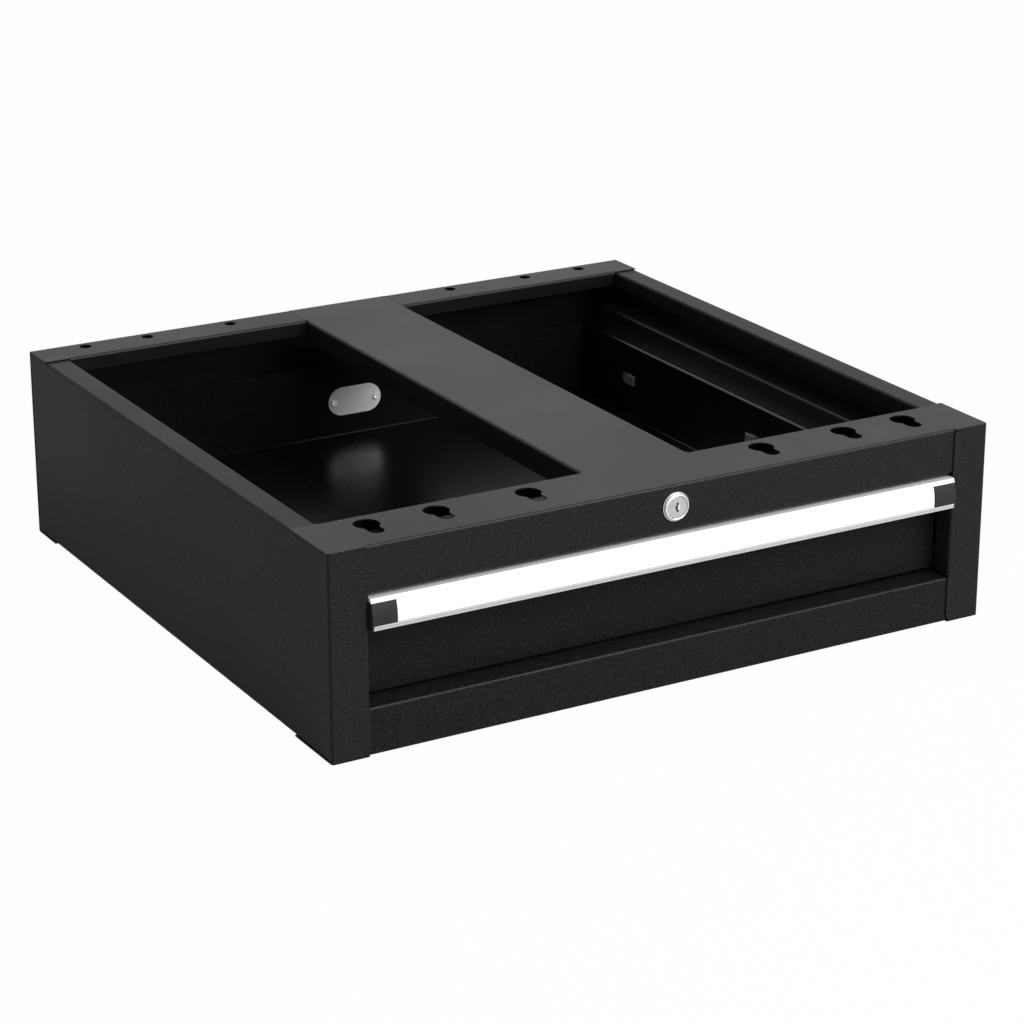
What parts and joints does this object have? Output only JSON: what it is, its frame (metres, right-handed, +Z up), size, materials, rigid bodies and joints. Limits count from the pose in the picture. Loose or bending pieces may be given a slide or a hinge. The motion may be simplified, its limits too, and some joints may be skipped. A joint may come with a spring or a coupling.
{
  "type": "under-bench drawer unit",
  "caption": "Low dark-grey sheet-metal casing with one full-extension drawer, aluminium grip with white label strip, cam lock, keyhole flange and open top with a centre strip.",
  "frame": {"origin": "centre of the footprint, with the handle's bulge counted, on the plane of the base", "axes": "+X to the right seen from the front, +Y from the front to the back (the drawer opens towards -Y), +Z up"},
  "size_m": [0.573, 0.5554, 0.16],
  "materials": {
    "casing_coat": "fine-texture dark grey powder coat",
    "drawer_coat": "fine-texture dark grey powder coat",
    "runner_zinc": "bright zinc plate",
    "ball_steel": "polished",
    "screw_zinc": "bright zinc plate",
    "handle_aluminium": "satin anodised",
    "label_white": "smooth white",
    "cap_plastic": "dark grey, matt",
    "port_plastic": "grey, satin",
    "buffer_plastic": "black, matt",
    "lock_chrome": "bright nickel plate"
  },
  "bodies": {
    "casing": {"left_side_panel": "casing_coat", "right_side_panel": "casing_coat", "front_frame": "casing_coat", "back_panel": "casing_coat", "bottom_rail": "casing_coat", "left_runner_bracket": "casing_coat", "right_runner_bracket": "casing_coat", "left_outer_rail": "runner_zinc", "right_outer_rail": "runner_zinc", "left_rail_buffer": "buffer_plastic", "right_rail_buffer": "buffer_plastic", "bracket_screws": "screw_zinc", "lock_housing": "lock_chrome", "lock_nut": "screw_zinc"},
    "drawer": {"drawer_tray": "drawer_coat", "drawer_back": "drawer_coat", "drawer_front": "drawer_coat", "port_cover": "port_plastic", "port_cover_screws": "screw_zinc", "tray_screws": "screw_zinc", "left_inner_rail": "runner_zinc", "right_inner_rail": "runner_zinc", "handle_profile": "handle_aluminium", "label_strip": "label_white", "left_end_cap": "cap_plastic", "right_end_cap": "cap_plastic", "handle_screws": "screw_zinc"},
    "left_middle": {"left_middle_rail": "runner_zinc"},
    "right_middle": {"right_middle_rail": "runner_zinc"},
    "left_outer_ball_cage": {"left_outer_cage": "runner_zinc", "left_outer_balls": "ball_steel"},
    "right_outer_ball_cage": {"right_outer_cage": "runner_zinc", "right_outer_balls": "ball_steel"},
    "left_inner_ball_cage": {"left_inner_cage": "runner_zinc", "left_inner_balls": "ball_steel"},
    "right_inner_ball_cage": {"right_inner_cage": "runner_zinc", "right_inner_balls": "ball_steel"},
    "lock": {"lock_plug": "lock_chrome", "lock_cam": "screw_zinc", "cam_screw": "screw_zinc"}
  },
  "joints": [
    {"name": "drawer_slide", "type": "slide", "parent": "casing", "child": "drawer", "axis": [0, -1, 0], "range_m": [0, 0.5]},
    {"name": "left_middle_slide", "type": "slide", "parent": "casing", "child": "left_middle", "axis": [0, -1, 0], "range_m": [0, 0.25]},
    {"name": "left_outer_ball_cage_slide", "type": "slide", "parent": "casing", "child": "left_outer_ball_cage", "axis": [0, -1, 0], "range_m": [0, 0.125]},
    {"name": "left_inner_ball_cage_slide", "type": "slide", "parent": "casing", "child": "left_inner_ball_cage", "axis": [0, -1, 0], "range_m": [0, 0.375]},
    {"name": "right_middle_slide", "type": "slide", "parent": "casing", "child": "right_middle", "axis": [0, -1, 0], "range_m": [0, 0.25]},
    {"name": "right_outer_ball_cage_slide", "type": "slide", "parent": "casing", "child": "right_outer_ball_cage", "axis": [0, -1, 0], "range_m": [0, 0.125]},
    {"name": "right_inner_ball_cage_slide", "type": "slide", "parent": "casing", "child": "right_inner_ball_cage", "axis": [0, -1, 0], "range_m": [0, 0.375]},
    {"name": "lock_turn", "type": "hinge", "parent": "casing", "child": "lock", "pos_m": [0, -0.2723, 0.143], "axis": [0, 1, 0], "range_deg": [0, 90]}
  ],
  "couplings": [
    {"joint": "left_middle_slide", "follows": "drawer_slide", "ratio": 0.5},
    {"joint": "left_outer_ball_cage_slide", "follows": "drawer_slide", "ratio": 0.25},
    {"joint": "left_inner_ball_cage_slide", "follows": "drawer_slide", "ratio": 0.75},
    {"joint": "right_middle_slide", "follows": "drawer_slide", "ratio": 0.5},
    {"joint": "right_outer_ball_cage_slide", "follows": "drawer_slide", "ratio": 0.25},
    {"joint": "right_inner_ball_cage_slide", "follows": "drawer_slide", "ratio": 0.75}
  ]
}
